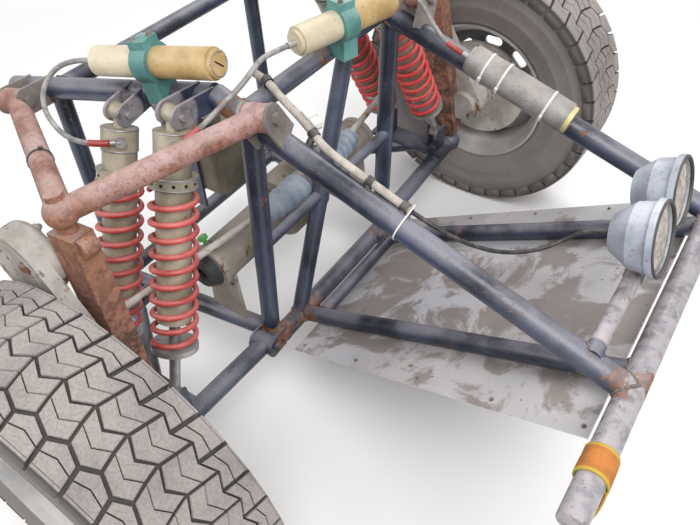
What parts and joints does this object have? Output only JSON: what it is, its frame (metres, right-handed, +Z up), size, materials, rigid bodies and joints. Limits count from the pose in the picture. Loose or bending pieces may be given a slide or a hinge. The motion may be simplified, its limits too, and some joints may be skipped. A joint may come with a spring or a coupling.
{
  "type": "off-road buggy front end",
  "caption": "Front end of a tubular off-road buggy: tube nose, skid plate, wishbones, red coilovers with remote reservoirs, lamps, steering and lugged wheels",
  "frame": {"origin": "middle of the plane where the four frame rails are cut, half-way between the right and left rails", "axes": "+X forward towards the bumper, +Y to the vehicle's left, +Z up"},
  "size_m": [1.3731, 1.755, 0.9243],
  "materials": {
    "boot_rubber": "pale blue-grey rubber",
    "bottle_cream": "yellowed cream",
    "bottle_grey": "dusty grey",
    "bracket_beige": "worn beige-grey plate",
    "cable_black": "cable sheath",
    "cast_metal": "dusty casting",
    "clamp_teal": "teal anodising",
    "clip_black": "clip",
    "conduit_cream": "split conduit",
    "frame_paint": "worn dark blue-grey paint with rust",
    "hose_braid": "grimy braid",
    "housing_iron": "dusty beige casting",
    "lamp_glass": "dusty ribbed lens",
    "lamp_shell": "pale blue-grey",
    "plate_aluminium": "dirty bare sheet",
    "rim_silver": "dull silver",
    "rod_steel": "dull steel",
    "rusty_arm": "rusty red paint",
    "seal_rubber": "black seal",
    "shock_gold": "dirty gold anodising",
    "spring_red": "red enamel",
    "strap_webbing": "webbing",
    "tank_plastic": "aged plastic",
    "tyre_rubber": "dusty tread"
  },
  "bodies": {
    "frame": {"bumper_tube": "frame_paint", "cross_tubes": "frame_paint", "drive_housing": "housing_iron", "fluid_tank": "tank_plastic", "front_brace": "frame_paint", "hose_fittings": "rod_steel", "hose_front_left": "hose_braid", "hose_front_right": "hose_braid", "hose_rear_left": "hose_braid", "hose_rear_right": "hose_braid", "housing_cradle": "housing_iron", "housing_seals": "seal_rubber", "lamp_bar": "frame_paint", "lamp_bowls": "lamp_shell", "lamp_cable": "cable_black", "lamp_feet": "frame_paint", "lamp_lenses": "lamp_glass", "lower_arm_brackets": "frame_paint", "lower_arms": "frame_paint", "lower_cross_tube": "frame_paint", "lower_rails": "frame_paint", "nose_reservoir": "bottle_grey", "nose_tubes_lower": "frame_paint", "nose_tubes_upper": "frame_paint", "rack_boots": "boot_rubber", "rack_carrier": "frame_paint", "reservoir_clamps": "clamp_teal", "reservoirs": "bottle_cream", "shock_bodies": "shock_gold", "shock_clevises": "frame_paint", "shock_rods": "rod_steel", "skid_plate": "plate_aluminium", "springs": "spring_red", "steering_rack_housing": "cast_metal", "tank_bracket": "frame_paint", "tow_strap": "strap_webbing", "upper_arm_brackets": "bracket_beige", "upper_arms": "rusty_arm", "upper_rails": "frame_paint", "uprights": "frame_paint", "wire_clips": "clip_black", "wiring_conduit": "conduit_cream"},
    "knuckle_right": {"knuckle_right": "rusty_arm", "carrier_right": "cast_metal", "caliper_right": "cast_metal"},
    "wheel_right": {"hub_right": "cast_metal", "rim_right": "rim_silver", "tyre_right": "tyre_rubber"},
    "tie_right": {"tie_rod_right": "cast_metal"},
    "knuckle_left": {"knuckle_left": "rusty_arm", "carrier_left": "cast_metal", "caliper_left": "cast_metal"},
    "wheel_left": {"hub_left": "cast_metal", "rim_left": "rim_silver", "tyre_left": "tyre_rubber"},
    "tie_left": {"tie_rod_left": "cast_metal"},
    "rack": {"rack_bar": "cast_metal"}
  },
  "joints": [
    {"name": "steer_right", "type": "hinge", "parent": "frame", "child": "knuckle_right", "pos_m": [0.58, -0.615, -0.275], "axis": [-0.1592, 0.0619, 0.9853], "range_deg": [-25, 25]},
    {"name": "wheel_spin_right", "type": "hinge", "parent": "knuckle_right", "child": "wheel_right", "pos_m": [0.608, -0.775, -0.138], "axis": [0, 1, 0], "continuous": true},
    {"name": "tie_end_right", "type": "hinge", "parent": "knuckle_right", "child": "tie_right", "pos_m": [0.448, -0.595, -0.05], "axis": [-0.1592, 0.0619, 0.9853], "range_deg": [-25, 25]},
    {"name": "steer_left", "type": "hinge", "parent": "frame", "child": "knuckle_left", "pos_m": [0.58, 0.615, -0.275], "axis": [-0.1592, -0.0619, 0.9853], "range_deg": [-25, 25]},
    {"name": "wheel_spin_left", "type": "hinge", "parent": "knuckle_left", "child": "wheel_left", "pos_m": [0.608, 0.775, -0.138], "axis": [0, 1, 0], "continuous": true},
    {"name": "tie_end_left", "type": "hinge", "parent": "knuckle_left", "child": "tie_left", "pos_m": [0.448, 0.595, -0.05], "axis": [-0.1592, -0.0619, 0.9853], "range_deg": [-25, 25]},
    {"name": "rack_slide", "type": "slide", "parent": "frame", "child": "rack", "axis": [0, 1, 0], "range_m": [-0.0405, 0.0405]}
  ],
  "couplings": [
    {"joint": "steer_left", "follows": "steer_right", "ratio": 1},
    {"joint": "tie_end_right", "follows": "steer_right", "ratio": -1},
    {"joint": "tie_end_left", "follows": "steer_right", "ratio": -1},
    {"joint": "rack_slide", "follows": "steer_right", "m_per_rad": -0.09282}
  ]
}
